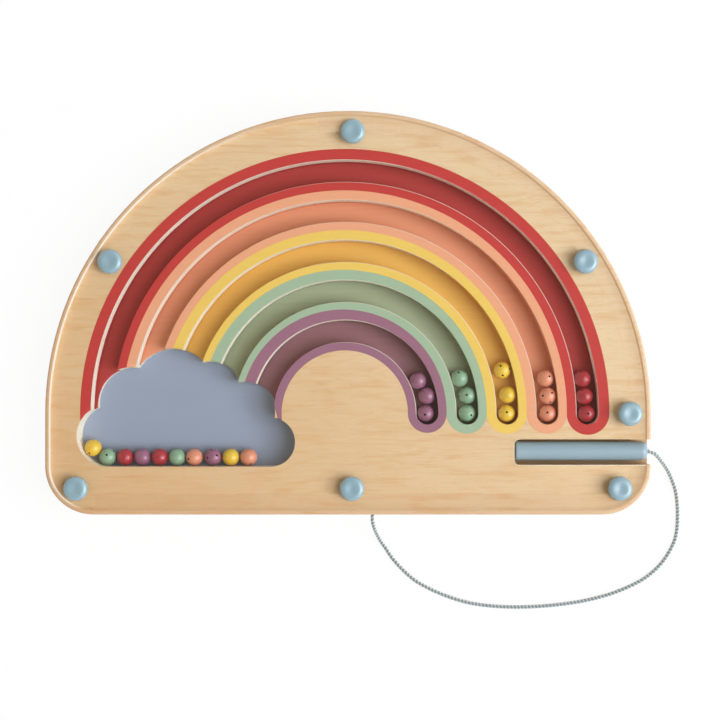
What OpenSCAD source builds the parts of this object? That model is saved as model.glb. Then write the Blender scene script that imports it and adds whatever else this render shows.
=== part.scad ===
// Magnetic maze board: a wooden arch with five curved ball tracks that open into a cloud-shaped
// pocket, under a clear cover, with a magnetic wand on a cord. It lies on its back.
// Frame: X right, Y up the board, Z out of its face. The origin is the middle of the back.

/* [Board] */
// Width of the board, which is the width of its arch
board_w = 300; // [280:1:330]
// Height of the straight sides, from the bottom edge to the middle of the arch
side_h = 50; // [47:1:64]
// Radius of the two bottom corners
corner_r = 24; // [8:1:30]
// Radius of the outer edges, front and back
edge_r = 1.2; // [0.4:0.1:1.6]
// Width of the rim around the cover
rim_w = 2; // [1.8:0.1:3]

/* [Panels and cover] */
// Thickness of the back panel
back_t = 3; // [2.4:0.2:6]
// Thickness of the panel with the track floors
floor_t = 3; // [2:0.2:5]
// Thickness of the clear cover
cover_t = 3; // [2:0.2:5]
// Gap between the cover and the rim
cover_gap = 0.2; // [0.1:0.05:0.5]
// Thickness of the paint that the cover lies on
paint_t = 0.1; // [0.05:0.05:0.2]

/* [Balls] */
// Diameter of a ball
ball_d = 8.5; // [7:0.1:8.8]
// Diameter of the steel core
core_d = 5.6; // [4:0.1:6]
// Gap between a core and its shell
core_gap = 0.05; // [0.02:0.01:0.1]
// Diameter of the three pin holes in a shell
pin_d = 1.05; // [0.6:0.05:1.4]
// Angle of the pin holes from the pole of a ball
pin_angle = 41; // [30:1:50]
// Least gap between a ball and whatever is next to it
ball_gap = 0.2; // [0.15:0.05:0.4]
// Room above a ball, under the cover
headroom = 0.3; // [0.3:0.1:2]

/* [Tracks] */
// Side play of a ball in its track, each side
track_play = 1.25; // [0.8:0.05:2.2]
// Width of the land between two tracks
land_w = 8.9; // [7.5:0.1:9.4]
// Distance of the outermost track's middle from the arch's edge
border_w = 29.4; // [28:0.1:33]
// Sideways place of the common centre of the tracks
track_x = -1.7; // [-3:0.1:1]

/* [Cloud] */
// Depth of the cloud's flat bottom below the middle of the arch
cloud_drop = 26.5; // [24:0.5:29]

/* [Buttons] */
// Diameter of a button's head
button_d = 12; // [9:0.5:13]
// Height of a button's head
button_h = 3.2; // [2:0.1:4.5]
// Radius of the round edge of a button's head
button_edge_r = 2; // [1:0.1:2]
// Depth of the dish in a button's head
dish_h = 0.9; // [0.3:0.1:1.2]
// Diameter of a button's stem
stem_d = 5; // [3.5:0.1:6]
// Length of the stem below the cover
stem_l = 6.5; // [4:0.5:7]
// Gap round and under a stem
stem_gap = 0.1; // [0.05:0.05:0.2]
// Distance of the arch's buttons from the outer edge
arch_button_in = 10.5; // [9:0.5:12]
// Distance of the corner buttons from the sides
corner_button_in = 15.5; // [12:0.5:18]
// Distance of the bottom buttons from the bottom edge
bottom_button_in = 13; // [11:0.5:14]
// Sideways place of the bottom middle button
mid_button_x = 2; // [-4:0.5:4]

/* [Wand] */
// Diameter of the wand
wand_d = 9.4; // [8:0.1:11]
// Length of the wand, with its tip cap
wand_l = 66; // [56:1:72]
// Wall of the wand's barrel
wand_wall = 1.4; // [1:0.1:1.8]
// Thickness of the barrel's closed tail
tail_wall = 3.2; // [2.4:0.2:5]
// Radius of the wand's tail end
tail_r = 3; // [1.5:0.1:3.2]
// Thickness of the tip cap that shows
cap_t = 2.5; // [1.5:0.1:5]
// Radius of the tip cap's edge
cap_r = 1.1; // [0.5:0.1:1.4]
// Length of the tip cap's spigot in the barrel
spigot_l = 4; // [2:0.5:8]
// Length of the magnet
magnet_l = 12; // [6:1:20]
// Gap round the spigot and the magnet
wand_fit = 0.05; // [0.02:0.01:0.1]

/* [Wand slot] */
// Distance of the slot's upper side below the middle of the arch
slot_drop = 12.8; // [12:0.2:14.5]
// Room across the slot beside the wand
slot_play = 3.2; // [1.8:0.1:3.6]
// Room in the slot before the wand's tip
slot_end_play = 0.8; // [0.5:0.1:2]
// Gap between the wand and the slot's upper side
wand_side_gap = 1.2; // [0.3:0.1:1.4]
// Gap between the wand and the slot's floor
wand_floor_gap = 0.3; // [0.2:0.05:0.4]
// Distance of the wand's tail from the board's side
wand_tail_in = 0.8; // [0.5:0.1:3]
// Radius of the slot's inner corners
slot_r = 2.5; // [1:0.1:4]

/* [Tether] */
// Diameter of the cord
cord_d = 2; // [1.6:0.1:2.2]
// Gap between the cord and its holes
cord_gap = 0.3; // [0.2:0.05:0.5]
// Diameter of the knots at the cord's ends
knot_d = 5; // [4:0.1:5.6]
// Gap round the knot in the board
knot_gap = 0.8; // [0.4:0.1:1.2]
// Sideways place of the cord's hole in the bottom edge
anchor_x = 12; // [6:0.5:20]
// Wood between the bottom edge and the knot's pocket
anchor_wall = 8; // [5:0.5:10]

/* [Hidden] */
$fn = 64;
// Overlap of a cut past the face that it opens
cut = 1;

// The board's outline: an arch on straight sides with two round corners
arch_r = board_w / 2;
board_h = arch_r + side_h;
bottom_y = -board_h / 2;
arch_y = bottom_y + side_h;

// Heights of the layers, from the back
track_w = ball_d + 2 * track_play;
channel_h = ball_gap + ball_d + headroom;
cloud_z = back_t;
track_z = cloud_z + floor_t;
seat_z = track_z + channel_h;
cover_z = seat_z + paint_t;
top_z = cover_z + cover_t;

// Tracks, from the innermost to the outermost
COLOURS = ["purple", "green", "yellow", "orange", "red"];
PAINT = ["#9d6786", "#86b48f", "#e9c84e", "#e2906c", "#b73040"];
track_pitch = track_w + land_w;
TRACKS = [0:len(COLOURS) - 1];
function track_r(i) = arch_r - border_w - (len(COLOURS) - 1 - i) * track_pitch;
function track_of(colour) = search([colour], COLOURS)[0];

// Lobes of the cloud: the track whose mouth each is at, the shift from that mouth, the height of
// its middle over the middle of the arch, and its radius. The end lobes stand on the flat bottom.
end_lobe_r = [15.4, 12.3];
LOBES = [
    ["red", 2.7, end_lobe_r[0] - cloud_drop, end_lobe_r[0]],
    ["orange", -5.7, 4.8, 18.2],
    ["yellow", -5.8, 11.3, 21.1],
    ["green", -6.3, 12, 14],
    ["purple", -8.9, 0.6, 15.3],
    ["purple", 4, end_lobe_r[1] - cloud_drop, end_lobe_r[1]]
];
function lobe_at(l) = [track_x - track_r(track_of(l[0])) + l[1], arch_y + l[2]];
cloud_y = arch_y - cloud_drop;

// Balls that wait in a track: the free way behind each one, from the blind end, and its place
// across the play of the track, from -1 at the inner wall to 1 at the outer wall
ball_r = ball_d / 2;
ball_step = ball_d + ball_gap;
side_room = track_w / 2 - ball_r - ball_gap;
TRACK_BALLS = [
    [[0, -0.7], [0, 0.8], [0, -1]],
    [[0, 0.1], [0.2, 0.8], [0.55, -1]],
    [[0, 0], [0.5, 1], [3.8, 0.7]],
    [[0, 0.6], [0, 1], [0, 1]],
    [[0, 0.1], [0, -0.6], [0.1, -0.7]]
];
function sum(v, n) = n < 0 ? 0 : v[n] + sum(v, n - 1);
function track_ball_at(i, k) =
    let (gaps = [for (b = TRACK_BALLS[i]) b[0]])
    let (arc = k * ball_step + sum(gaps, k))
    let (angle = arc / track_r(i) * 180 / PI)
    let (r = track_r(i) + TRACK_BALLS[i][k][1] * side_room)
    [track_x + r * cos(angle), arch_y + r * sin(angle), track_z + ball_gap + ball_r];

// Balls in the cloud, from the left: the first two lean on the round wall of the end lobe, and the
// others stand in a row on the flat bottom, each with its colour and the free way before it
lean_angle = 215;
ROW = [
    ["yellow", 0], ["green", 0], ["red", 0], ["purple", 0], ["red", 0],
    ["green", 0], ["orange", 0], ["purple", 0.8], ["yellow", 0.1], ["orange", 0.3]
];
LEANING = 2;
lean_r = LOBES[0][3] - ball_r - ball_gap;
lean_turn = 2 * asin(ball_step / (2 * lean_r));
function lean_at(k) =
    let (angle = lean_angle + k * lean_turn)
    lobe_at(LOBES[0]) + lean_r * [cos(angle), sin(angle)];
function row_ball_at(k) =
    let (gaps = [for (b = ROW) b[1]])
    let (last = LEANING - 1)
    let (
        at = k < LEANING
            ? lean_at(k)
            : [lean_at(last)[0] + (k - last) * ball_step + sum(gaps, k), cloud_y + ball_r + ball_gap]
    )
    [at[0], at[1], cloud_z + ball_gap + ball_r];
// The row's balls of one colour, which are its balls 4 and 5
function row_of(i) = [for (k = [0:len(ROW) - 1]) if (ROW[k][0] == COLOURS[i]) k];

// How each ball lies: the tilt of its pole, the heading of that tilt and the turn about the pole
down = [180, 0, 0];
LIE = [
    [[51, -130, 0], down, down, down, [31, 103, 60]],
    [[69, -23, 0], [48, 153, 0], [82, 102, 0], [58, 78, 0], down],
    [[51, 106, 0], down, [14, 0, -48], [82, -113, 0], down],
    [[52, 137, 0], [9, -98, -33], [67, 33, 0], [78, -163, 0], [98, -71, 0]],
    [[47, -14, 0], down, down, down, down]
];
PINS = 3;

// Every ball: its name, its track and colour, its middle and how it lies
IN_TRACK = len(TRACK_BALLS[0]);
BALLS = [
    for (i = TRACKS)
        for (k = [0:len(LIE[i]) - 1])
            [
                str(COLOURS[i], "_ball_", k + 1),
                i,
                k < IN_TRACK ? track_ball_at(i, k) : row_ball_at(row_of(i)[k - IN_TRACK]),
                LIE[i][k]
            ]
];

// Buttons: four round the arch by their angles and three along the bottom
ARCH_BUTTONS = [0, 32.6, 89, 147.4];
BUTTONS = concat(
    [for (a = ARCH_BUTTONS) [0, arch_y] + (arch_r - arch_button_in) * [cos(a), sin(a)]],
    [
        for (x = [corner_button_in - arch_r, mid_button_x, arch_r - corner_button_in])
            [x, bottom_y + bottom_button_in]
    ]
);
stem_tip_r = 1;

// Wand and its slot
wand_r = wand_d / 2;
bore_r = wand_r - wand_wall;
slot_w = wand_d + slot_play;
slot_y = arch_y - slot_drop;
wand_y = slot_y - wand_side_gap - wand_r;
wand_z = track_z + wand_floor_gap + wand_r;
tail_x = arch_r - wand_tail_in;
tip_x = tail_x - wand_l;
slot_x = tip_x - slot_end_play;
barrel_l = wand_l - cap_t;

// Cord: a knot in a pocket of the board, the route over the table and a knot in the wand
cord_r = cord_d / 2;
cord_hole_r = cord_r + cord_gap;
knot_r = knot_d / 2;
pocket_r = knot_r + knot_gap;
anchor_z = track_z + channel_h / 2;
pocket_y = bottom_y + anchor_wall + pocket_r;
wand_knot_x = tail_x - tail_wall - wand_fit - knot_r;
lay_gap = 0.05;
lay_z = cord_r + lay_gap;
ROUTE = [
    [anchor_x, bottom_y, anchor_z],
    [12, -104, 10],
    [12.9, -108, 7.5],
    [14.3, -111.8, 4],
    [16.2, -115.5, 1.6],
    [18.6, -119, lay_z],
    [22, -124, lay_z],
    [27.5, -130, lay_z],
    [34.5, -135.8, lay_z],
    [46, -141.6, lay_z],
    [58.5, -145.8, lay_z],
    [70.5, -147.9, lay_z],
    [83, -148.6, lay_z],
    [95, -148.3, lay_z],
    [107.5, -147.1, lay_z],
    [119.5, -145.2, lay_z],
    [132, -142, lay_z],
    [143, -137.6, lay_z],
    [151, -133, lay_z],
    [157.8, -126.8, lay_z],
    [162.2, -120.5, lay_z],
    [165, -114.5, lay_z],
    [166.3, -108.5, lay_z],
    [166.6, -102, lay_z],
    [166.4, -96, lay_z],
    [165.5, -90, lay_z],
    [163.5, -84, 1.5],
    [160.8, -78.8, 3.4],
    [157.4, -74.5, 6.6],
    [153.6, -70.6, 9.8],
    [tail_x, wand_y, wand_z]
];

// Half section of a slab's edge: a rectangle from the slab's inside with rounded outer corners
module edge_section(reach, t, front_r, back_r) {
    difference() {
        square([reach, t]);
        if (front_r > 0)
            translate([reach - front_r, t - front_r])
                edge_waste(front_r);
        if (back_r > 0)
            translate([reach - back_r, back_r])
                mirror([0, 1])
                    edge_waste(back_r);
    }
}

// What a round edge takes off a square corner
module edge_waste(r) {
    difference() {
        square(r + cut);
        circle(r);
    }
}

// A slab of the board's outline, drawn in by an inset, with round front and back edges
module slab(t, inset = 0, front_r = 0, back_r = 0) {
    side_l = side_h - corner_r;
    translate([0, arch_y, 0])
        rotate_extrude(angle = 180)
            edge_section(arch_r - inset, t, front_r, back_r);
    for (s = [0, 1])
        mirror([s, 0, 0]) {
            translate([0, arch_y, 0])
                rotate([90, 0, 0])
                    linear_extrude(side_l)
                        edge_section(arch_r - inset, t, front_r, back_r);
            translate([arch_r - corner_r, bottom_y + corner_r, 0])
                rotate([0, 0, -90])
                    rotate_extrude(angle = 90)
                        edge_section(corner_r - inset, t, front_r, back_r);
        }
    translate([corner_r - arch_r, bottom_y + corner_r, 0])
        rotate([90, 0, 90])
            mirror([1, 0, 0])
                linear_extrude(2 * (arch_r - corner_r))
                    edge_section(corner_r - inset, t, front_r, back_r);
}

// Outline of the cloud: round lobes over a flat bottom
module cloud_outline() {
    for (l = LOBES)
        translate(lobe_at(l))
            circle(l[3]);
    ends = [lobe_at(LOBES[0])[0], lobe_at(LOBES[len(LOBES) - 1])[0]];
    polygon(concat([for (l = LOBES) lobe_at(l)], [[ends[1], cloud_y], [ends[0], cloud_y]]));
}

// The space of one track: half a ring with a round blind end at its right
module track_space(i, h) {
    translate([track_x, arch_y, 0]) {
        rotate_extrude(angle = 180)
            translate([track_r(i) - track_w / 2, 0])
                square([track_w, h]);
        translate([track_r(i), 0, 0])
            rotate([0, 0, 180])
                rotate_extrude(angle = 180)
                    square([track_w / 2, h]);
    }
}

// The space of the wand's slot, open at the board's right side
module slot_space(h) {
    length = arch_r + cut - slot_x;
    translate([slot_x, slot_y - slot_w, 0]) {
        translate([slot_r, 0, 0])
            cube([length - slot_r, slot_w, h]);
        translate([0, slot_r, 0])
            cube([length, slot_w - 2 * slot_r, h]);
        for (y = [slot_r, slot_w - slot_r])
            translate([slot_r, y, 0])
                cylinder(r = slot_r, h = h);
    }
}

// The cord's hole through the bottom edge and the pocket behind it for the knot
module anchor_space() {
    translate([anchor_x, bottom_y - cut, anchor_z])
        rotate([-90, 0, 0])
            cylinder(r = cord_hole_r, h = cut + anchor_wall + pocket_r);
    translate([anchor_x, pocket_y, track_z - cut])
        cylinder(r = pocket_r, h = cut + channel_h / 2 + pocket_r);
}

module back_panel() {
    color("#e3c293")
        slab(back_t, back_r = edge_r);
}

module track_floor_panel() {
    color("#ede4d6")
        translate([0, 0, cloud_z])
            difference() {
                slab(floor_t);
                translate([0, 0, -cut])
                    linear_extrude(floor_t + 2 * cut)
                        cloud_outline();
            }
}

module maze_panel() {
    color("#e3c293")
        difference() {
            translate([0, 0, track_z])
                slab(top_z - track_z, front_r = edge_r);
            translate([0, 0, seat_z])
                slab(top_z - seat_z + cut, inset = rim_w);
            translate([0, 0, track_z - cut]) {
                for (i = TRACKS)
                    track_space(i, channel_h + 2 * cut);
                linear_extrude(channel_h + 2 * cut)
                    cloud_outline();
                slot_space(top_z - track_z + 2 * cut);
            }
            for (p = BUTTONS)
                translate([p[0], p[1], seat_z - stem_l - stem_gap])
                    cylinder(d = stem_d + 2 * stem_gap, h = stem_l + stem_gap + cut);
            anchor_space();
        }
}

module clear_cover() {
    color("#eef6f8", 0.3)
        translate([0, 0, cover_z])
            difference() {
                slab(cover_t, inset = rim_w + cover_gap);
                translate([0, 0, -cut])
                    slot_space(cover_t + 2 * cut);
                for (p = BUTTONS)
                    translate([p[0], p[1], -cut])
                        cylinder(d = stem_d + 2 * stem_gap, h = cover_t + 2 * cut);
            }
}

// One push-in button: a low head with a raised rim and a dish, on a stem with a blunt tip
module button() {
    stem = stem_l + paint_t + cover_t;
    dish_w = button_d / 2 - button_edge_r;
    dish_r = (dish_w * dish_w + dish_h * dish_h) / (2 * dish_h);
    difference() {
        rotate_extrude() {
            edge_section(button_d / 2, button_h, button_edge_r, 0);
            translate([0, -stem])
                edge_section(stem_d / 2, stem + cut, 0, stem_tip_r);
        }
        translate([0, 0, button_h - dish_h + dish_r])
            sphere(dish_r);
    }
}

module cover_buttons() {
    color("#a0c2d0")
        for (p = BUTTONS)
            translate([p[0], p[1], top_z])
                button();
}

// Turns a piece that stands on the wand's axis so that it lies in the slot, tip to the left
module along_wand(x) {
    translate([x, wand_y, wand_z])
        rotate([0, 90, 0])
            children();
}

module wand_barrel() {
    color("#9bb2c0")
        along_wand(tip_x + cap_t)
            rotate_extrude()
                difference() {
                    edge_section(wand_r, barrel_l, tail_r, 0);
                    translate([0, -cut])
                        square([bore_r, barrel_l - tail_wall + cut]);
                    square([cord_hole_r, barrel_l + cut]);
                }
}

module wand_tip_cap() {
    color("#9bb2c0")
        along_wand(tip_x)
            rotate_extrude() {
                edge_section(wand_r, cap_t, 0, cap_r);
                square([bore_r - wand_fit, cap_t + spigot_l]);
            }
}

module wand_magnet() {
    color("#6f7478")
        along_wand(tip_x + cap_t + spigot_l)
            cylinder(r = bore_r - wand_fit, h = magnet_l);
}

// Points of a smooth curve through a list of points, with some steps to each stretch
function curve(p, steps) =
    let (n = len(p) - 1)
    [
        for (i = [0:n - 1])
            for (s = [0:steps - 1])
                let (t = s / steps)
                let (a = p[max(i - 1, 0)], b = p[i], c = p[i + 1], d = p[min(i + 2, n)])
                b + t / 2 * (c - a + t * (2 * a - 5 * b + 4 * c - d + t * (3 * (b - c) + d - a))),
        p[n]
    ];

// A knot as rings along a straight axis: how far along each one lies and its radius
KNOT_RINGS = 6;
KNOT = [
    for (k = [0:KNOT_RINGS])
        let (a = 180 * k / KNOT_RINGS)
        [-knot_r * cos(a), max(knot_r * sin(a), cord_r)]
];

// The cord's middle line and its radius at each point
CORD_STEPS = 2;
LINE = curve(ROUTE, CORD_STEPS);
CORD = concat(
    [for (k = KNOT) [[anchor_x, pocket_y - k[0], anchor_z], k[1]]],
    [for (p = LINE) [p, cord_r]],
    [for (k = KNOT) [[wand_knot_x - k[0], wand_y, wand_z], k[1]]]
);
CORD_SIDES = 8;

function unit(v) = v / norm(v);

// One ring of the cord, square to its run
function cord_ring(i) =
    let (n = len(CORD) - 1)
    let (run = unit(CORD[min(i + 1, n)][0] - CORD[max(i - 1, 0)][0]))
    let (side = unit(cross([0, 0, 1], run)))
    let (rise = cross(run, side))
    [
        for (k = [0:CORD_SIDES - 1])
            let (a = 360 * (k + 0.5) / CORD_SIDES)
            CORD[i][0] + CORD[i][1] * (cos(a) * side + sin(a) * rise)
    ];

module tether_cord() {
    n = len(CORD);
    m = CORD_SIDES;
    points = [for (i = [0:n - 1]) each cord_ring(i)];
    walls = [
        for (i = [0:n - 2])
            for (k = [0:m - 1])
                let (a = i * m + k, b = i * m + (k + 1) % m)
                each [[a, a + m, b], [b, a + m, b + m]]
    ];
    ends = [[for (k = [0:m - 1]) k], [for (k = [m - 1:-1:0]) (n - 1) * m + k]];
    color("#cfd6dc")
        polyhedron(points, concat(walls, ends));
}

// Puts a ball's piece at its place, lying as it does
module at_ball(b) {
    translate(b[2])
        rotate([0, 0, b[3][1]])
            rotate([0, b[3][0], 0])
                rotate([0, 0, b[3][2]])
                    children();
}

// A moulded shell round the core, with the three holes that the mould's pins leave
module ball_shell(b) {
    color(PAINT[b[1]])
        at_ball(b)
            difference() {
                sphere(d = ball_d);
                sphere(d = core_d + 2 * core_gap);
                for (k = [0:PINS - 1])
                    rotate([0, 0, 180 + 360 * k / PINS])
                        rotate([0, pin_angle, 0])
                            cylinder(d = pin_d, h = ball_d);
            }
}

module ball_core(b) {
    color("#55595d")
        at_ball(b)
            sphere(d = core_d);
}

back_panel();
track_floor_panel();
maze_panel();
clear_cover();
cover_buttons();
wand_barrel();
wand_tip_cap();
wand_magnet();
tether_cord();
for (b = BALLS) {
    ball_shell(b);
    ball_core(b);
}
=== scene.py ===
"""Magnetic maze board, dressed for looks: paint, varnished wood, a clear cover, moulded plastic and
a braided cord."""
import math

import bmesh
import bpy
import numpy as np
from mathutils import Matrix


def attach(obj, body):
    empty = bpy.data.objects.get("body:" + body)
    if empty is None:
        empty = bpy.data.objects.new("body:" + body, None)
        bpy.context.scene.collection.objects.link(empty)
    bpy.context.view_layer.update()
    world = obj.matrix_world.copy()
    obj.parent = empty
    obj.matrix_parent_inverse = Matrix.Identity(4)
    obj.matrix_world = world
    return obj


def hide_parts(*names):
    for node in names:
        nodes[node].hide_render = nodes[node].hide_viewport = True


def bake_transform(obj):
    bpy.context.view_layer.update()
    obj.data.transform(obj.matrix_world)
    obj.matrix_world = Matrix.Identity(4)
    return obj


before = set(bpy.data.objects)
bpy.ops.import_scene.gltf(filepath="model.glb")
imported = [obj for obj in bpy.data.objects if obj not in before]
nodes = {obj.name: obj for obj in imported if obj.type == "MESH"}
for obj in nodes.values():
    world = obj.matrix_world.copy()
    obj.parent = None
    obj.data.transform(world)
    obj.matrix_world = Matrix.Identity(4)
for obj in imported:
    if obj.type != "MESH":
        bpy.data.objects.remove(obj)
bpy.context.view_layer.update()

MM = 0.001

# Sizes that the part's source fixes, in millimetres
ARCH_R, ARCH_Y = 150.0, -50.0
CORNER_R, BOTTOM_Y = 24.0, -100.0
RIM_W, COVER_INSET = 2.0, 2.2
TRACK_X = -1.7
TRACK_RADII = {"purple": 41.0, "green": 60.9, "yellow": 80.8, "orange": 100.7, "red": 120.6}
# From a track's middle line to its walls, and to the middle of the land beside it
CHANNEL_HALF, LAND_HALF = 5.5, 9.95
CLOUD_Z, TRACK_Z, SEAT_Z, TOP_Z = 3.0, 6.0, 15.0, 18.1
# The cloud: its flat bottom, and the middle and radius of each lobe
CLOUD_BOTTOM = -76.5
LOBES = np.array([
    [-119.6, -61.1, 15.4],
    [-108.1, -45.2, 18.2],
    [-88.3, -38.7, 21.1],
    [-68.9, -38.0, 14.0],
    [-51.6, -49.4, 15.3],
    [-38.7, -64.2, 12.3],
])
SLOT_LEFT, SLOT_RIGHT, SLOT_TOP, SLOT_FOOT, SLOT_R = 82.4, 147.6, -62.8, -75.4, 2.5
BUTTONS = np.array([
    [139.5, -50.0], [117.52, 25.16], [2.43, 89.48], [-117.52, 25.16],
    [-134.5, -87.0], [2.0, -87.0], [134.5, -87.0],
])
# The cord's middle line, drawn in by about 0.1 mm where it reaches furthest out, so that the braid
# stays in the part's box
CORD_ROUTE = np.array([
    [12.0, -100.0, 10.5], [12.0, -104.0, 10.0], [12.9, -108.0, 7.5], [14.3, -111.8, 4.0],
    [16.2, -115.5, 1.6], [18.6, -119.0, 1.05], [22.0, -124.0, 1.05], [27.5, -130.0, 1.05],
    [34.5, -135.8, 1.05], [46.0, -141.6, 1.05], [58.5, -145.8, 1.05], [70.5, -147.8, 1.05],
    [83.0, -148.48, 1.05], [95.0, -148.2, 1.05], [107.5, -147.1, 1.05], [119.5, -145.2, 1.05],
    [132.0, -142.0, 1.05], [143.0, -137.6, 1.05], [151.0, -133.0, 1.05], [157.8, -126.8, 1.05],
    [162.2, -120.5, 1.05], [165.0, -114.5, 1.05], [166.2, -108.5, 1.05], [166.48, -102.0, 1.05],
    [166.3, -96.0, 1.05], [165.5, -90.0, 1.05], [163.5, -84.0, 1.5], [160.8, -78.8, 3.4],
    [157.4, -74.5, 6.6], [153.6, -70.6, 9.8], [149.2, -68.7, 11.0],
])

# Sizes and shares of the finishes, in millimetres and parts of one

# A coat of paint, and how far its face stands over the wood
COAT, COAT_LIFT = 0.04, 0.05
# The borders of the outermost and the innermost band, from their tracks' middle lines
RED_BORDER, PURPLE_BORDER = 10.9, 9.6
# How bare the outer edge of the red track is all along
RED_RUB = 0.6
# How far the floor enamel climbs a wall at the left, and at the right, where its darker colour
# paints the walls' shade
WALL_FOOT, WALL_SHADE_TOP = 2.7, 7.8
# The fine streaks of the wood
STREAK = (24, 0.75, 0.75)
# The range of most values of a mottle
MOST = {"From Min": 0.3, "From Max": 0.7}


def linear(colour):
    """A hex sRGB colour as linear red, green, blue and alpha."""
    c = np.array([int(colour[k:k + 2], 16) for k in (1, 3, 5)]) / 255
    rgb = np.where(c <= 0.04045, c / 12.92, ((c + 0.055) / 1.055) ** 2.4)
    return (*rgb.tolist(), 1.0)


def add(tree, kind, inputs=None, take=0, **settings):
    """Adds a node with its settings. Each input gets a value, or a link where the value is another
    node's output. The output that is asked for comes back."""
    n = tree.nodes.new("ShaderNode" + kind)
    for key, value in settings.items():
        setattr(n, key, value)
    for key, value in (inputs or {}).items():
        if isinstance(value, bpy.types.NodeSocket):
            tree.links.new(value, n.inputs[key])
        else:
            n.inputs[key].default_value = value
    return n.outputs[take] if n.outputs else n


def new_material(name):
    """An empty node material and its tree."""
    m = bpy.data.materials.new(name)
    m.use_nodes = True
    m.node_tree.nodes.clear()
    return m, m.node_tree


def mottle(tree, size_mm, detail=3.0, rough=0.55, distort=0.0, drop_mm=0.0):
    """A pattern of soft spots or streaks that are about size_mm long along each axis of the board.
    With a drop, it is the pattern of that much lower down."""
    place = add(tree, "TexCoord", take="Object")
    scale, shift = [1 / (MM * s) for s in size_mm], [0, 0, -drop_mm / size_mm[2]]
    stretch = add(tree, "Mapping", {"Vector": place, "Scale": scale, "Location": shift})
    noise = {"Scale": 1.0, "Detail": detail, "Roughness": rough, "Distortion": distort}
    return add(tree, "TexNoise", {"Vector": stretch, **noise})


def wood_colour(tree, heart, sap, line, drop_mm=0.0):
    """The colour of sliced birch: darker and more orange towards the lower left, paler towards the
    upper right, with soft orange patches, faint flame-shaped year lines, fine long streaks and
    short flecks over it, in the colour line. Glue lines show between the panels."""
    slant, heart_at, sap_at = 1.4, -0.23, 0.14
    year_lines, glue_half, glue_share = 26.0, 0.09, 0.55
    place = add(tree, "SeparateXYZ", {0: add(tree, "TexCoord", take="Object")}).node
    x, y, z = (place.outputs[axis] for axis in "XYZ")
    plank = add(tree, "Math", {0: y, 1: slant, 2: x}, operation="MULTIPLY_ADD")
    plank = add(tree, "MapRange", {"Value": plank, "From Min": heart_at, "From Max": sap_at})
    flame = mottle(tree, (150, 26, 26), 1.5, 0.45, 0.3, drop_mm)
    tone = add(tree, "Math", {0: flame, 1: 0.7, 2: -0.35}, operation="MULTIPLY_ADD")
    tone = add(tree, "Math", {0: plank, 1: tone}, operation="ADD", use_clamp=True)
    base = add(tree, "Mix", {0: tone, 6: linear(heart), 7: linear(sap)}, 2, data_type="RGBA")

    patches = mottle(tree, (24, 3.0, 3.0), 3.0, 0.55, 0.5, drop_mm)
    years = add(tree, "Math", {0: flame, 1: year_lines}, operation="MULTIPLY")
    years = add(tree, "Math", {0: years, 1: 1.0}, operation="PINGPONG")
    streaks = mottle(tree, STREAK, 4.0, 0.6, 0.1, drop_mm)
    flecks = mottle(tree, (3.2, 0.5, 0.5), 2.0, 0.5, 0.0, drop_mm)
    for pattern, low, high, at_low, at_high in (
        (patches, 0.48, 0.75, 0.0, 0.5),
        (years, 0.0, 0.35, 0.12, 0.0),
        (streaks, 0.46, 0.72, 0.0, 0.2),
        (flecks, 0.55, 0.8, 0.0, 0.45),
    ):
        span = {"From Min": low, "From Max": high, "To Min": at_low, "To Max": at_high}
        share = add(tree, "MapRange", {"Value": pattern, **span})
        base = add(tree, "Mix", {0: share, 6: base, 7: linear(line)}, 2, data_type="RGBA")

    lower, upper = (
        add(tree, "Math", {0: z, 1: level * MM, 2: glue_half * MM}, operation="COMPARE")
        for level in (CLOUD_Z, TRACK_Z)
    )
    glue = add(tree, "Math", {0: lower, 1: upper}, operation="ADD")
    glue = add(tree, "Math", {0: glue, 1: glue_share}, operation="MULTIPLY")
    return add(tree, "Mix", {0: glue, 6: base, 7: linear("#8A6238")}, 2, data_type="RGBA")


def wood(name, heart, sap, line):
    """Sliced birch under satin varnish, which follows the fine streaks a little, so that the sheen
    breaks up along the grain."""
    m, tree = new_material(name)
    base = wood_colour(tree, heart, sap, line)
    streaks = mottle(tree, STREAK, 4.0, 0.6, 0.1)
    rough = add(tree, "MapRange", {"Value": streaks, **MOST, "To Min": 0.42, "To Max": 0.55})
    bump = add(tree, "Bump", {"Strength": 0.12, "Distance": 0.1 * MM, "Height": streaks})
    varnish = {"Roughness": rough, "Normal": bump, "IOR": 1.5, "Specular IOR Level": 0.35}
    shader = add(tree, "BsdfPrincipled", {"Base Color": base, **varnish})
    add(tree, "OutputMaterial", {"Surface": shader})
    return m


def cut_wood(name, pale, dark):
    """A routed and primed cut edge: chalky and off-white, with faint lines along the layers. In
    paler wood colours it is also the rebate wall, where it paints light.
    """
    m, tree = new_material(name)
    layers = mottle(tree, (25, 25, 0.9), 3.0, 0.6)
    lines = add(tree, "MapRange", {"Value": layers, "From Min": 0.35, "From Max": 0.65})
    base = add(tree, "Mix", {0: lines, 6: linear(dark), 7: linear(pale)}, 2, data_type="RGBA")
    primer = {"Roughness": 0.75, "IOR": 1.45, "Specular IOR Level": 0.25}
    shader = add(tree, "BsdfPrincipled", {"Base Color": base, **primer})
    add(tree, "OutputMaterial", {"Surface": shader})
    return m


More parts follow.
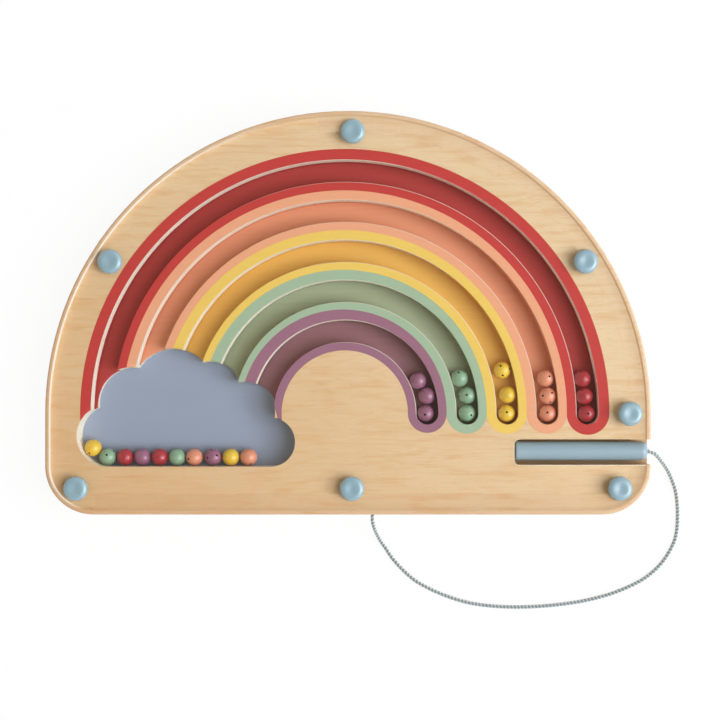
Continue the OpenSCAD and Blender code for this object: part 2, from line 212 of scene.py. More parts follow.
def paint(name, colour, deep, edge):
    """Water-based toy enamel, sprayed on wood: an even satin coat in which the grain just shows
    through, with the fine orange peel of spray. Where marked, the edge is pale: bare wood, and a
    painted highlight where the light catches it."""
    m, tree = new_material(name)
    through = mottle(tree, (30, 0.7, 0.7), 3.0, 0.6)
    grained = add(tree, "MapRange", {"Value": through, **MOST})
    coat = add(tree, "Mix", {0: grained, 6: linear(deep), 7: linear(colour)}, 2, data_type="RGBA")
    bare_and_lit = add(tree, "Attribute", take="Fac", attribute_name="bare_and_lit")
    base = add(tree, "Mix", {0: bare_and_lit, 6: coat, 7: linear(edge)}, 2, data_type="RGBA")
    peel = mottle(tree, (0.6, 0.6, 0.6), 2.0, 0.5)
    rough = add(tree, "MapRange", {"Value": peel, **MOST, "To Min": 0.48, "To Max": 0.6})
    bump = add(tree, "Bump", {"Strength": 0.08, "Distance": 0.05 * MM, "Height": peel})
    satin = {"Roughness": rough, "Normal": bump, "IOR": 1.5, "Specular IOR Level": 0.25}
    shader = add(tree, "BsdfPrincipled", {"Base Color": base, **satin})
    add(tree, "OutputMaterial", {"Surface": shader})
    return m


def moulded(name, colour, deep, rough, shine=0.6):
    """Moulded ABS or silicone-feel plastic: coloured through, with a fine spark-eroded skin that
    spreads the highlight. The skin is drawn coarser than the real one, so that it shows."""
    m, tree = new_material(name)
    cloudy = mottle(tree, (4, 4, 4), 2.0, 0.5)
    uneven = add(tree, "MapRange", {"Value": cloudy, **MOST})
    base = add(tree, "Mix", {0: uneven, 6: linear(deep), 7: linear(colour)}, 2, data_type="RGBA")
    skin = mottle(tree, (0.25, 0.25, 0.25), 2.0, 0.5)
    smooth, matt = rough - 0.04, rough + 0.04
    spread = add(tree, "MapRange", {"Value": skin, **MOST, "To Min": smooth, "To Max": matt})
    bump = add(tree, "Bump", {"Strength": 0.06, "Distance": 0.03 * MM, "Height": skin})
    gloss = {"Roughness": spread, "Normal": bump, "IOR": 1.53, "Specular IOR Level": shine}
    shader = add(tree, "BsdfPrincipled", {"Base Color": base, **gloss})
    add(tree, "OutputMaterial", {"Surface": shader})
    return m


def steel(name, colour, rough):
    """Turned and tumbled steel, plated for the magnet and dark for the ball cores: its sheen is
    broken by an uneven polish, drawn coarser than the real one, so that it shows."""
    m, tree = new_material(name)
    tumbled = mottle(tree, (0.5, 0.5, 0.5), 3.0, 0.6)
    bright, dull = rough - 0.08, rough + 0.08
    polish = add(tree, "MapRange", {"Value": tumbled, **MOST, "To Min": bright, "To Max": dull})
    metal = {"Base Color": linear(colour), "Metallic": 1.0, "Roughness": polish}
    add(tree, "OutputMaterial", {"Surface": add(tree, "BsdfPrincipled", metal)})
    return m


def acrylic(name):
    """Cast acrylic sheet, clear and polished: it lets light straight through and mirrors a little,
    more at a slant, as its IOR of 1.49 gives, on the faces that the light meets from outside."""
    m, tree = new_material(name)
    clear = add(tree, "BsdfTransparent", {"Color": linear("#FDFEFE")})
    gloss = add(tree, "BsdfGlossy", {"Color": linear("#FFFFFF"), "Roughness": 0.04})
    inside = add(tree, "NewGeometry", take="Backfacing")
    outside = add(tree, "Math", {0: 1.0, 1: inside}, operation="SUBTRACT")
    mirrors = add(tree, "Fresnel", {"IOR": 1.49})
    share = add(tree, "Math", {0: mirrors, 1: outside}, operation="MULTIPLY")
    add(tree, "OutputMaterial", {"Surface": add(tree, "MixShader", {0: share, 1: clear, 2: gloss})})
    return m


def sawn_acrylic(name, pale, dark):
    """The sawn edge of the sheet: frosted white, with fine saw marks."""
    m, tree = new_material(name)
    marks = mottle(tree, (0.5, 0.5, 4), 2.0, 0.5)
    base = add(tree, "Mix", {0: marks, 6: linear(dark), 7: linear(pale)}, 2, data_type="RGBA")
    bump = add(tree, "Bump", {"Strength": 0.1, "Distance": 0.05 * MM, "Height": marks})
    frost = {"Roughness": 0.5, "IOR": 1.49, "Normal": bump}
    shader = add(tree, "BsdfPrincipled", {"Base Color": base, **frost})
    add(tree, "OutputMaterial", {"Surface": shader})
    return m


def sheet_border(name, woods, shaded, bright):
    """The border of the polished sheet, which paints light and shade on it. As thick as veil is
    marked, it is a veil of the wood's own colour: painted light over the rim's shadow on the wood,
    so that the rim hardly shades the wood there. Where edge is marked, it is a brown line of
    painted shade, and where glow is marked, a pale painted highlight."""
    m, tree = new_material(name)
    edge, glow, veil = (
        add(tree, "Attribute", take="Fac", attribute_name=label)
        for label in ("edge", "glow", "veil")
    )
    below = wood_colour(tree, *woods, drop_mm=TOP_Z - SEAT_Z)
    tone = add(tree, "Mix", {0: edge, 6: below, 7: linear(shaded)}, 2, data_type="RGBA")
    tone = add(tree, "Mix", {0: glow, 6: tone, 7: linear(bright)}, 2, data_type="RGBA")
    clear = add(tree, "BsdfTransparent", {"Color": linear("#FFFFFF")})
    seen = add(tree, "BsdfDiffuse", {"Color": tone})
    add(tree, "OutputMaterial", {"Surface": add(tree, "MixShader", {0: veil, 1: clear, 2: seen})})
    return m


def braid(name, white, grey, groove_shade):
    """Braided polyester cord: white strands across grey ones, with shade painted darker between the
    strands, and a soft sheen of fine threads. The threads are drawn coarser than real ones, so that
    they show."""
    m, tree = new_material(name)
    fleck = add(tree, "Attribute", take="Fac", attribute_name="fleck")
    deep = add(tree, "Attribute", take="Fac", attribute_name="groove_shade")
    strand = add(tree, "Mix", {0: fleck, 6: linear(white), 7: linear(grey)}, 2, data_type="RGBA")
    threads = mottle(tree, (0.3, 0.3, 0.3), 2.0, 0.5)
    span = {"From Min": 0.35, "From Max": 0.75, "To Max": 0.18}
    worn = add(tree, "MapRange", {"Value": threads, **span})
    strand = add(tree, "Mix", {0: worn, 6: strand, 7: linear(grey)}, 2, data_type="RGBA")
    base = add(tree, "Mix", {0: deep, 6: strand, 7: linear(groove_shade)}, 2, data_type="RGBA")
    fuzz = {"Roughness": 0.8, "Sheen Weight": 0.15, "Sheen Roughness": 0.5}
    shader = add(tree, "BsdfPrincipled", {"Base Color": base, **fuzz})
    add(tree, "OutputMaterial", {"Surface": shader})
    return m


def grid_quads(n, k):
    """The quads between the neighbours of a grid of n by k points."""
    a = np.arange(n - 1)[:, None] * k + np.arange(k - 1)[None]
    return np.stack([a, a + k, a + k + 1, a + 1], -1).reshape(-1, 4)


def surface(name, points, material, body, flip=False, marks=None, film=0.0):
    """A piece from a grid of points in millimetres, whose neighbours make quads. Points that meet,
    at a seam or a pole, are welded. Marks are values at the points, and film is the thickness of a
    coat, under its face. The piece rides a body, where one is given, and takes the given material."""
    quads = grid_quads(*points.shape[:2])
    if flip:
        quads = quads[:, ::-1]
    mesh = bpy.data.meshes.new(name)
    mesh.from_pydata((points.reshape(-1, 3) * MM).tolist(), [], quads.tolist())
    for label, values in (marks or {}).items():
        mark = mesh.attributes.new(label, "FLOAT", "POINT")
        mark.data.foreach_set("value", values.astype(np.float32).ravel())
    shape = bmesh.new()
    shape.from_mesh(mesh)
    bmesh.ops.remove_doubles(shape, verts=shape.verts, dist=1e-6)
    shape.to_mesh(mesh)
    shape.free()
    mesh.polygons.foreach_set("use_smooth", np.ones(len(mesh.polygons), bool))
    obj = bpy.data.objects.new(name, mesh)
    bpy.context.scene.collection.objects.link(obj)
    mesh.materials.append(material)
    if film:
        coat = obj.modifiers.new("coat", "SOLIDIFY")
        coat.thickness, coat.offset = film * MM, -1.0
    if body:
        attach(obj, body)
    return obj


def joined_angle(radius):
    """The angle, going left from the right end, at which a circle about the tracks' centre enters
    the cloud: the least over the lobes of the lobe's bearing less the angle that its chord spans.
    A lobe that the circle misses counts as never."""
    never = 4.0
    east, north = LOBES[:, 0] - TRACK_X, LOBES[:, 1] - ARCH_Y
    far, bearing = np.hypot(east, north), np.arctan2(north, east) % (2 * math.pi)
    r = np.asarray(radius)[..., None]
    share = (r * r + far * far - LOBES[:, 2] ** 2) / (2 * r * far)
    enters = np.where(share < 1, bearing - np.arccos(np.clip(share, -1, 1)), never)
    return enters.min(-1)


def on_arc(radius, angle):
    """Points of a circle about the tracks' centre."""
    return TRACK_X + radius * np.cos(angle), ARCH_Y + radius * np.sin(angle)


def print_shift(angle, radius):
    """How far the border of two colours lies outside the middle of the land: the print came out a
    little smaller than the cut tracks, and off to the upper left, less so on the outer tracks. It
    is a constant less a cosine and plus a sine of the angle, each linear in the radius."""
    u = (radius - 51) / 60
    return 0.35 - 0.4 * u - (0.7 - 0.45 * u) * np.cos(angle) + (0.4 - 0.1 * u) * np.sin(angle)


def band(name, track_r, outer, inner, shift_outer, shift_inner, rub, material):
    """The painted border of one track: a strip from the cloud along the outer leg, round the blind
    end and back along the inner leg. Across, it rounds the channel's edge and goes on to the
    border, which is at outer or inner from the middle line, and moves by the print's shift where it
    meets another colour. The channel's edge is painted pale, as a highlight where the light catches
    it, at the right of the inner leg and over the top and the left of the outer leg, and rub is how
    bare the rest of the outer leg's edge is."""
    half_way = 7.5
    lip = np.array([5.44, 5.44, 5.5, 5.6, 5.74])
    height = SEAT_Z + np.array([-0.5, -0.12, 0.03, 0.07, 0.07, 0.07, 0.07, 0.07])
    edge = np.array([1, 1, 1, 1, 0, 0, 0, 0])

    def columns(border):
        """Distances from the middle line: the lip, and three steps on to the border."""
        rest = lip[-1] + (border[:, None] - lip[-1]) * np.array([0.5, 0.99, 1])
        return np.concatenate([np.broadcast_to(lip, (len(border), len(lip))), rest], 1)

    t, turn = np.linspace(0, 1, 160), np.linspace(0, 1, 48)[1:-1]
    there = joined_angle(track_r + half_way) * (1 - t)
    back = joined_angle(track_r - half_way) * t
    d1 = columns(outer + shift_outer * print_shift(there, track_r + outer))
    d3 = columns(inner - shift_inner * print_shift(back, track_r - inner))
    d2 = d1[-1] + (d3[0] - d1[-1]) * turn[:, None]
    x1, y1 = on_arc(track_r + d1, joined_angle(track_r + d1[0]) * (1 - t[:, None]))
    x2 = TRACK_X + track_r + d2 * np.cos(math.pi * turn[:, None])
    y2 = ARCH_Y - d2 * np.sin(math.pi * turn[:, None])
    x3, y3 = on_arc(track_r - d3, joined_angle(track_r - d3[-1]) * t[:, None])
    x, y = np.concatenate([x1, x2, x3]), np.concatenate([y1, y2, y3])
    points = np.stack([x, y, np.broadcast_to(height, x.shape)], -1)
    # Along the legs the pale edge, bare wood and painted highlight, fades over an angle, and round
    # the end over a share of the turn
    bare_and_lit_share = np.concatenate([
        np.clip((there - 0.8) / 0.6, rub, 1),
        np.clip((turn - 0.85) / 0.15, rub * (turn < 0.3), 1),
        np.clip((2.2 - back) / 1.0, 0, 1),
    ])
    marks = {"bare_and_lit": bare_and_lit_share[:, None] * edge}
    return surface(name, points, material, "board", marks=marks, film=COAT)


def track_floor(name, track_r, material):
    """The painted floor of one track: an arc from the cloud to the blind end, and a half disc
    there. Across, its points are spaced by a sine, closer at the walls."""
    d = CHANNEL_HALF * np.sin(np.linspace(-1, 1, 13) * math.pi / 2)[None]
    t = np.linspace(0, 1, 160)[:, None]
    x1, y1 = on_arc(track_r + d, joined_angle(track_r + d) * (1 - t))
    u = np.linspace(0, 1, 9)[1:, None]
    x2 = np.broadcast_to(TRACK_X + track_r + d, (len(u), d.shape[1]))
    y2 = ARCH_Y - u * np.sqrt(np.maximum(CHANNEL_HALF ** 2 - d * d, 0))
    x, y = np.concatenate([x1, x2]), np.concatenate([y1, y2])
    points = np.stack([x, y, np.full(x.shape, TRACK_Z + COAT_LIFT)], -1)
    return surface(name, points, material, "board", film=COAT)


def wall_paint(name, track_r, top, material):
    """The floor's enamel on the outer wall of a track and round its blind end, to a slightly wavy
    edge, by a product of two sines. It covers the foot of the wall at the left, where it ran up the
    wall, and reaches up to top at the right, where the walls lie in shade and its darker colour
    paints that shade. It runs out towards the end of the turn."""
    gap, climbs_at, climbs_over, runs_out = 0.1, 1.15, 0.35, 0.3
    rho = CHANNEL_HALF - gap
    t, turn = np.linspace(0, 1, 160)[:, None], np.linspace(0, 1, 40)[1:, None]
    angle = joined_angle(track_r + rho) * (1 - t)
    x1, y1 = on_arc(track_r + rho, angle)
    x2 = TRACK_X + track_r + rho * np.cos(math.pi * turn)
    y2 = ARCH_Y - rho * np.sin(math.pi * turn)
    wave = 1 + 0.06 * np.sin(23 * angle) * np.sin(7 * angle + track_r)
    right = np.clip((climbs_at - angle) / climbs_over, 0, 1)
    climb = np.concatenate([
        (WALL_FOOT + (top - WALL_FOOT) * right) * wave,
        top * np.clip((1 - turn) / runs_out, 0.04, 1),
    ])
    z = TRACK_Z + gap + climb * np.linspace(0, 1, 6)[None]
    x, y = (np.broadcast_to(np.concatenate(p), z.shape) for p in ((x1, x2), (y1, y2)))
    return surface(name, np.stack([x, y, z], -1), material, "board", film=COAT)


def cloud_floor(name, material):
    """The painted floor of the cloud: rays from its middle to the furthest lobe or to the flat
    bottom. Along a ray, the points are spaced by a sine."""
    middle = np.array([-85.0, -58.0])
    angle = np.linspace(0, 2 * math.pi, 1441)
    ray = np.stack([np.cos(angle), np.sin(angle)], -1)
    to = LOBES[:, :2] - middle
    along = ray @ to.T
    root = LOBES[:, 2] ** 2 - (to * to).sum(1) + along ** 2
    reach = np.where(root > 0, along + np.sqrt(np.maximum(root, 0)), 0).max(1)
    down = np.where(ray[:, 1] < 0, (CLOUD_BOTTOM - middle[1]) / np.minimum(ray[:, 1], -1e-6), 0)
    at = middle[0] + down * ray[:, 0]
    flat = (ray[:, 1] < 0) & (at > LOBES[0, 0]) & (at < LOBES[-1, 0])
    reach = np.where(flat, down, reach)
    share = np.sin(np.linspace(0, math.pi / 2, 20))
    xy = middle + (reach[:, None] * share)[..., None] * ray[:, None]
    points = np.concatenate([xy, np.full((*xy.shape[:2], 1), CLOUD_Z + COAT_LIFT)], -1)
    return surface(name, points, material, "board", flip=True, film=COAT)


def cover_lip(name, material):
    """The sawn edge of the cover along the wand's slot: a narrow rounded strip carried along the
    outline of the slot, round its closed end and along its lower side. It lets most light through,
    so it throws no shadow."""
    turn = np.linspace(math.pi / 2, math.pi, 12)
    out = np.stack([np.cos(turn), np.sin(turn)], -1)
    upper = np.array([SLOT_LEFT + SLOT_R, SLOT_TOP - SLOT_R]) + SLOT_R * out
    mirror = np.array([1, -1])
    lower = (upper * mirror + np.array([0, SLOT_TOP + SLOT_FOOT]))[::-1]
    line = np.concatenate([upper, lower, [[SLOT_RIGHT, SLOT_FOOT]]])
    normal = np.concatenate([out, (out * mirror)[::-1], (out * mirror)[:1]])
    width = np.array([0.24, 0.12, 0.03, -0.01, -0.01])
    height = TOP_Z + np.array([0.015, 0.03, -0.03, -0.25, -1.6])
    xy = line[:, None] + normal[:, None] * width[None, :, None]
    points = np.concatenate([xy, np.broadcast_to(height, xy.shape[:2])[..., None]], -1)
    obj = surface(name, points, material, "board", film=0.03)
    obj.visible_shadow = False
    return obj


def cover_border(name, material):
    """The border of the cover: a narrow flat strip along the cover's outline, which follows the
    arch, the straight sides and the round lower corners from one side of the wand's slot to the
    other. Where it faces left it is a pale painted highlight, and where it faces right a brown line
    of painted shade, fainter at the top and faintest at the bottom. Inside it are two veils as wide
    as the rim's shadow: from the slot to just past the crown, and along the bottom and the right
    side up to the slot. They are painted light over that shadow, and they neither throw a shadow
    nor scatter light."""
    reach, lift, veil_w = ARCH_R - COVER_INSET, 0.012, 7.5
    arch = np.linspace(0, math.pi, 181)[:, None]
    over = np.hstack([np.cos(arch), np.sin(arch)])
    bend = np.linspace(0, math.pi / 2, 24)[:, None]
    ring = [
        ((reach, SLOT_TOP), (1, 0)),
        (np.array([0, ARCH_Y]) + reach * over, over),
    ]
    for turn, side in ((bend + math.pi, -1), (bend + 1.5 * math.pi, 1)):
        out = np.hstack([np.cos(turn), np.sin(turn)])
        at = np.array([side * (ARCH_R - CORNER_R), BOTTOM_Y + CORNER_R])
        ring.append((at + (CORNER_R - COVER_INSET) * out, out))
    ring.append(((reach, SLOT_FOOT), (1, 0)))
    line = np.vstack([np.atleast_2d(p) for p, _ in ring])
    normal = np.vstack([np.atleast_2d(n) for _, n in ring])
    past_crown, bottom_left = 98, len(arch) + len(bend)
    # A painted highlight where the border faces left, and a brown line of painted shade elsewhere
    glow = np.clip(-2 * normal[:, :1] - 0.4, 0, 1)
    brown = (0.35 + 0.5 * normal[:, :1]) * (1 + 0.7 * np.minimum(normal[:, 1:], 0))
    across = np.array([-0.19, 0.0, 0.35, 0.7])
    inside = across[-1] + np.linspace(0, veil_w, 9)
    for label, rows, width, veil, edge in (
        ("outline", slice(None), across, 0.8 + 0.05 * glow, np.clip(brown, 0, 1)),
        ("veil_upper", slice(past_crown), inside, 0.8, 0.0),
        ("veil_lower", slice(bottom_left, None), inside, 0.65, 0.14),
    ):
        xy = line[rows, None] - normal[rows, None] * width[None, :, None]
        height = TOP_Z + np.where(width < 0, 0.0, lift)
        points = np.concatenate([xy, np.broadcast_to(height, xy.shape[:2])[..., None]], -1)
        even = np.ones(xy.shape[:2])
        marks = {"glow": glow[rows] * even, "edge": edge * even, "veil": veil * even}
        piece = f"{name}_{label}"
        obj = surface(piece, points, material, "board", flip=True, marks=marks)
        obj.visible_shadow = obj.visible_diffuse = False


def smooth_line(route, steps):
    """A curve through the points of a route, by the same cubic as the part's source: at each point
    it runs parallel to the line between the point's two neighbours."""
    n = len(route) - 1
    a, b = route[np.maximum(np.arange(n) - 1, 0)], route[:-1]
    c, d = route[1:], route[np.minimum(np.arange(n) + 2, n)]
    t = (np.arange(steps) / steps)[None, :, None]
    a, b, c, d = (p[:, None] for p in (a, b, c, d))
    line = b + t / 2 * (c - a + t * (2 * a - 5 * b + 4 * c - d + t * (3 * (b - c) + d - a)))
    return np.concatenate([line.reshape(-1, 3), route[-1:]])


def cord(name, material):
    """A braided tube: two families of strands wind round the route in opposite turns and pass over
    and under each other. Height is the higher family's round strand plus its alternating rise. One
    family is white and the other grey, and there are fewer strands than in the real braid, so that
    they show. The ends run a little way into the board and the wand, and are closed."""
    sides, strands, lay, radius = 32, 2, 3.6, 1.0
    tuck, step = 1.6, 0.11
    strand_share, rise_share, relief = 0.65, 0.35, 0.12
    route = smooth_line(CORD_ROUTE, 40)
    whole = np.concatenate([route[:1] + [0, tuck, 0], route, route[-1:] - [tuck, 0, 0]])
    far = np.concatenate([[0], np.linalg.norm(np.diff(whole, axis=0), axis=1).cumsum()])
    s = np.arange(0, far[-1], step)[:, None]
    line = np.stack([np.interp(s[:, 0], far, whole[:, k]) for k in range(3)], -1)
    run = np.gradient(line, axis=0)
    run /= np.linalg.norm(run, axis=1)[:, None]
    side = np.cross([0, 0, 1], run)
    side /= np.linalg.norm(side, axis=1)[:, None]
    rise = np.cross(run, side)
    phi = np.linspace(0, 2 * math.pi, sides + 1)[None]
    a, b = strands * (phi + 2 * math.pi * s / lay), strands * (phi - 2 * math.pi * s / lay)
    m, k = np.round(a / (2 * math.pi)), np.round(b / (2 * math.pi))
    da, db = a - 2 * math.pi * m, b - 2 * math.pi * k
    one = strand_share * np.cos(da / 2) + rise_share * np.cos(b / 2) * (-1) ** m
    two = strand_share * np.cos(db / 2) - rise_share * np.cos(a / 2) * (-1) ** k
    height = np.maximum(one, two)
    level = (height - height.min()) / np.ptp(height)
    fleck = 0.5 - 0.5 * np.tanh(6 * (one - two + 0.1))
    # Painted shade, darker down between the strands
    groove_shade = 0.5 * (1 - level) ** 2
    r = radius * (1 - relief + relief * level)
    tube = line[:, None] + r[..., None] * (
        np.cos(phi)[..., None] * side[:, None] + np.sin(phi)[..., None] * rise[:, None]
    )
    ends = [np.broadcast_to(line[e], (1, sides + 1, 3)) for e in (0, -1)]
    tube = np.concatenate([ends[0], tube, ends[1]])
    marks = {"fleck": fleck, "groove_shade": groove_shade}
    marks = {label: np.concatenate([v[:1], v, v[-1:]]) for label, v in marks.items()}
    obj = surface(name, tube, material, None, marks=marks)
    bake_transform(obj)
    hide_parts("tether_cord")
    return obj


def button_heads(name, material):
    """Push-in buttons turned about their own axes: a dish that rises to a round rim, a straight
    side and the stem under it. The dish is a cosine, and the rim a quarter of an ellipse."""
    head_h, dish_r, dish_deep, rim_w, rim_h = 3.2, 3.6, 0.34, 2.4, 2.0
    r1 = np.linspace(0, dish_r, 14)
    z1 = head_h - dish_deep * (0.5 + 0.5 * np.cos(math.pi * r1 / dish_r))
    q = np.linspace(0, math.pi / 2, 16)[1:]
    r2, z2 = dish_r + rim_w * np.sin(q), head_h - rim_h + rim_h * np.cos(q)
    r3 = np.array([5.98, 5.94, 5.8, 2.5, 2.5, 2.2, 1.5, 0.0])
    z3 = np.array([0.5, 0.15, 0.0, 0.0, -8.8, -9.4, -9.6, -9.6])
    r, z = np.concatenate([r1, r2, r3]), np.concatenate([z1, z2, z3])
    turn = np.linspace(0, 2 * math.pi, 73)[:, None]
    x, y = r * np.cos(turn), r * np.sin(turn)
    one = np.stack([x, y, np.broadcast_to(TOP_Z + z, x.shape)], -1)
    made = []
    for k, at in enumerate(BUTTONS):
        points = one + np.array([at[0], at[1], 0])
        piece = f"{name}_{k + 1}"
        made.append(surface(piece, points, material, "board", flip=True))
    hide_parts("cover_buttons")
    return made


def dress(node, material):
    """Gives a CAD node its finish."""
    mesh = nodes[node].data
    mesh.materials.clear()
    mesh.materials.append(material)


def by_row(items, label):
    """A centre, normal or place for each face or point of a mesh, one row each."""
    values = np.empty(len(items) * 3)
    items.foreach_get(label, values)
    return values.reshape(-1, 3)


def dark_holes(node, material):
    """Gives the pin holes of a ball's shell, and its inside, a dark plastic colour that paints the
    shade in the holes: the faces that lie deeper than the skin."""
    skin = 0.2
    mesh = nodes[node].data
    mesh.materials.append(material)
    middle, points = by_row(mesh.polygons, "center"), by_row(mesh.vertices, "co")
    far = np.linalg.norm(middle - (points.min(0) + points.max(0)) / 2, axis=1)
    deep = far < far.max() - skin * MM
    mesh.polygons.foreach_set("material_index", deep.astype(np.int32))


def bare_walls(node, walls, rebate, rim):
    """Gives the upright faces inside the board's outline, apart from the wand's slot, the look of a
    cut edge. Inset is the distance from the outline: from the arch, a round corner or a straight
    side. The wall round the cover is paler than the wood, which paints light into its shade, and
    where it faces right, at the left, it takes the pale cut-edge colour as a painted highlight. The
    rim round the cover takes up more varnish and is darker."""
    outer_wall, past_rim, past_rebate = 1.6, RIM_W + 0.1, 3.0
    slot_room, over_seat = 1.0, 0.5
    mesh = nodes[node].data
    for material in (walls, rebate, rim):
        mesh.materials.append(material)
    x, y, z = by_row(mesh.polygons, "center").T / MM
    normal = by_row(mesh.polygons, "normal")
    upright, faces_right = np.abs(normal[:, 2]) < 0.5, normal[:, 0] > 0.35
    past_x, past_y = np.abs(x) - (ARCH_R - CORNER_R), BOTTOM_Y + CORNER_R - y
    straight = np.minimum(ARCH_R - np.abs(x), y - BOTTOM_Y)
    corner = CORNER_R - np.hypot(past_x, past_y)
    lower = np.where((past_x > 0) & (past_y > 0), corner, straight)
    inset = np.where(y > ARCH_Y, ARCH_R - np.hypot(x, y - ARCH_Y), lower)
    slot = (y < SLOT_TOP + slot_room) & (y > SLOT_FOOT - slot_room) & (x > SLOT_LEFT - slot_room)
    cut = upright & (inset > outer_wall) & ~slot
    # Rebate walls facing right take the cut-edge colour as a painted highlight, the rest painted
    # light
    finish = np.where((inset > past_rebate) | faces_right, 1, 2) * cut
    on_rim = (inset < past_rim) & (z > SEAT_Z + over_seat) & ((inset < outer_wall) | ~upright)
    finish = np.where(on_rim, 3, finish)
    mesh.polygons.foreach_set("material_index", finish.astype(np.int32))


# Materials

# A pair of colours is a finish and its deeper tone
# A pale edge: bare wood, and a painted highlight where the light catches the channels' edges
BARE_AND_LIT_EDGE = "#EADFCE"
BAND_PAINT = {
    "purple": ("#A26F82", "#9E6B7E"),
    "green": ("#AABE9F", "#A6BA9B"),
    "yellow": ("#F4CC66", "#F1C860"),
    "orange": ("#F2AB84", "#EFA780"),
    "red": ("#CB3E39", "#C73A36"),
}
# Darker than the bands: painted shade for the floors and walls deep in the channels
SHADED_FLOOR_PAINT = {
    "purple": ("#986A6F", "#926469"),
    "green": ("#A6AD8D", "#A0A787"),
    "yellow": ("#ECB65A", "#E7B054"),
    "orange": ("#E69873", "#E1926D"),
    "red": ("#B43C38", "#AF3733"),
}
BALL_PLASTIC = {
    "purple": ("#A0657F", "#965B75"),
    "green": ("#94B492", "#8AAA88"),
    "yellow": ("#F2C840", "#EABD36"),
    "orange": ("#EC9A78", "#E48F6D"),
    "red": ("#B42D36", "#AB2730"),
}
# The three colours of a wood are its tone at the lower left, its tone at the upper right and its
# lines
BIRCH = ("#E3BC8E", "#EDCFA6", "#DB9E60")
VARNISHED_EDGE = ("#D6B08A", "#DDBF9B", "#CB9460")
# The veil's wood tone, painted light over the rim's shadow
PAINTED_LIGHT_BIRCH = ("#D6B288", "#E0C5A1", "#CE965C")

birch = wood("varnished_birch", *BIRCH)
rim_wood = wood("varnished_birch_rim", *VARNISHED_EDGE)
cut_edge_and_lit_rebate = cut_wood("primed_cut_edge_and_lit_rebate", "#FBF0E0", "#F2E3CD")
# Paler than the birch: painted light for the rebate wall in the rim's shade
pale_rebate_painted_light = cut_wood("rebate_wall_painted_light", "#F4D6AB", "#E9C594")
clear_acrylic = acrylic("clear_cast_acrylic")
frosted_edge = sawn_acrylic("sawn_acrylic_edge", "#F6EBD8", "#EBDCC2")
# The cover's border: painted light over the rim's shadow, a painted highlight and painted shade
cover_painted_light = sheet_border("cover_border_painted_light", PAINTED_LIGHT_BIRCH, "#B88C66", "#FBF0E0")
button_plastic = moulded("blue_moulded_button_plastic", "#8CABB6", "#89A8B3", 0.34, 1.0)
wand_plastic = moulded("grey_blue_moulded_wand_plastic", "#94ABB6", "#92A9B4", 0.4)
# The ball cores' dark steel, darkened further to paint the shade in the pin holes
core_steel_hole_shade = steel("core_steel_painted_shade", "#231C17", 0.6)
# Near-black plastic for the pin holes: painted shade
hole_shade_plastic = moulded("pin_hole_painted_shade", "#35241C", "#2C1D16", 0.7, 0.2)
nickel = steel("nickel_plated_magnet", "#B9B7B2", 0.25)
braided = braid("braided_polyester_cord", "#D9DDDD", "#7B8788", "#8E9898")
cloud_paint = paint("grey_blue_toy_enamel", "#9CA5B8", "#99A2B5", BARE_AND_LIT_EDGE)
band_paints = {c: paint(f"{c}_toy_enamel", *BAND_PAINT[c], BARE_AND_LIT_EDGE) for c in BAND_PAINT}
shaded_floor_paints = {c: paint(f"{c}_floor_enamel_painted_shade", *SHADED_FLOOR_PAINT[c], BARE_AND_LIT_EDGE) for c in SHADED_FLOOR_PAINT}
plastics = {c: moulded(f"{c}_moulded_ball_plastic", *BALL_PLASTIC[c], 0.33) for c in BALL_PLASTIC}

# The finishes of the CAD nodes
for part in ("back_panel", "track_floor_panel", "maze_panel"):
    dress(part, birch)
for part in ("track_floor_panel", "maze_panel"):
    bare_walls(part, cut_edge_and_lit_rebate, pale_rebate_painted_light, rim_wood)
dress("clear_cover", clear_acrylic)
for part in ("wand_barrel", "wand_tip_cap"):
    dress(part, wand_plastic)
dress("wand_magnet", nickel)
for part in nodes:
    if part.endswith("_core"):
        dress(part, core_steel_hole_shade)
    elif part.endswith("_shell"):
        dress(part, plastics[part.split("_")[0]])
        dark_holes(part, hole_shade_plastic)

# Camera, above and to the right of the board's middle, as the photograph's perspective shows
camera = bpy.data.cameras.new("camera")
camera.sensor_width = 36
camera.lens = 65.6
camera.shift_x = -0.0764
camera.shift_y = 0.0347
eye = bpy.data.objects.new("camera", camera)
eye.location = (0.0332, -0.0358, 0.667)
bpy.context.scene.collection.objects.link(eye)
bpy.context.scene.camera = eye

# The pieces that Blender adds
cord("braided_tether", braided)
for c, track_r in TRACK_RADII.items():
    innermost, outermost = c == "purple", c == "red"
    band(
        f"{c}_band_paint", track_r, RED_BORDER if outermost else LAND_HALF,
        PURPLE_BORDER if innermost else LAND_HALF, not outermost, not innermost,
        RED_RUB if outermost else 0.0, band_paints[c],
    )
    track_floor(f"{c}_floor_paint", track_r, shaded_floor_paints[c])
    wall_paint(f"{c}_wall_paint", track_r, WALL_FOOT if outermost else WALL_SHADE_TOP, shaded_floor_paints[c])
cloud_floor("cloud_floor_paint", cloud_paint)
cover_lip("cover_slot_edge", frosted_edge)
cover_border("cover_border", cover_painted_light)
button_heads("button", button_plastic)

# White paper sweep

# Flat under the board, and rising with the square of the distance beyond 2400 mm
SWEEP_HALF, SWEEP_POINTS, SWEEP_FLAT, SWEEP_CURVE, SWEEP_Z = 4500, 61, 2400, 0.0006, -0.2
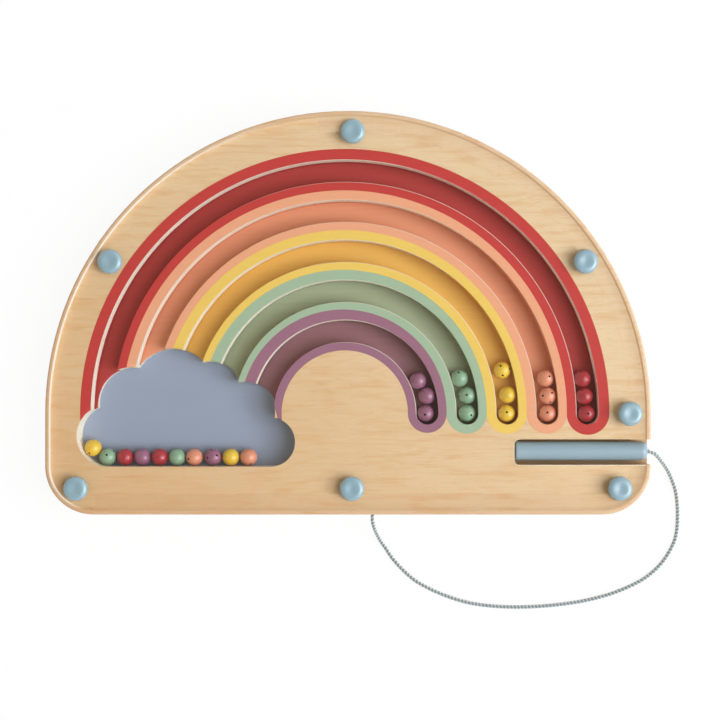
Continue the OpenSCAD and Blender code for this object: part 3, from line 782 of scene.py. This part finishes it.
# Seen directly it is nearly all white, but it keeps the board's shadow
SEEN_WHITE = 0.93
paper_mat, tree = new_material("white_paper_sweep")
path = add(tree, "LightPath").node.outputs
seen = add(
    tree, "Math", {0: path["Is Camera Ray"], 1: path["Is Glossy Ray"]}, operation="MAXIMUM",
)
seen = add(tree, "Math", {0: seen, 1: path["Is Transmission Ray"]}, operation="MAXIMUM")
share = add(tree, "Math", {0: seen, 1: SEEN_WHITE}, operation="MULTIPLY")
paper = add(tree, "BsdfDiffuse", {"Color": linear("#FAFAFA")})
white = add(tree, "Emission", {"Strength": 1.0})
add(tree, "OutputMaterial", {"Surface": add(tree, "MixShader", {0: share, 1: paper, 2: white})})
steps = np.linspace(-SWEEP_HALF, SWEEP_HALF, SWEEP_POINTS)
x, y = np.meshgrid(steps, steps, indexing="ij")
z = SWEEP_Z + SWEEP_CURVE * np.maximum(np.hypot(x, y) - SWEEP_FLAT, 0) ** 2
sweep_points = np.stack([x, y, z], -1).reshape(-1, 3) * MM
sweep_quads = grid_quads(SWEEP_POINTS, SWEEP_POINTS)
sweep_mesh = bpy.data.meshes.new("sweep")
sweep_mesh.from_pydata(sweep_points.tolist(), [], sweep_quads.tolist())
sweep_mesh.polygons.foreach_set("use_smooth", np.ones(len(sweep_quads), bool))
sweep_mesh.materials.append(paper_mat)
sweep = bpy.data.objects.new("sweep", sweep_mesh)
bpy.context.scene.collection.objects.link(sweep)

# Light

# A warm even surround, which is white together with the cooler key
world = bpy.data.worlds.new("pale_surround")
world.use_nodes = True
world.node_tree.nodes.clear()
surround = add(world.node_tree, "Background", {"Color": linear("#FFF0DA"), "Strength": 0.38})
add(world.node_tree, "OutputWorld", {"Surface": surround})
bpy.context.scene.world = world

# A broad soft key from the right, and a small softbox within it for the highlights
heading = math.radians(-12)
for name, size, power, far, degrees_up, colour in (
    ("broad_key", 2.4, 70.0, 2.6, 47, "#EBF4FF"),
    ("small_softbox", 0.6, 10.0, 2.2, 32, "#FFFFFF"),
):
    light = bpy.data.lights.new(name, "AREA")
    light.shape = "DISK"
    light.size, light.energy, light.color = size, power, linear(colour)[:3]
    climb = math.radians(degrees_up)
    lamp = bpy.data.objects.new(name, light)
    lamp.location = (
        far * math.cos(heading) * math.cos(climb), far * math.sin(heading) * math.cos(climb),
        far * math.sin(climb),
    )
    lamp.rotation_euler = (0, math.pi / 2 - climb, heading)
    bpy.context.scene.collection.objects.link(lamp)

bpy.context.scene.view_settings.view_transform = "Standard"
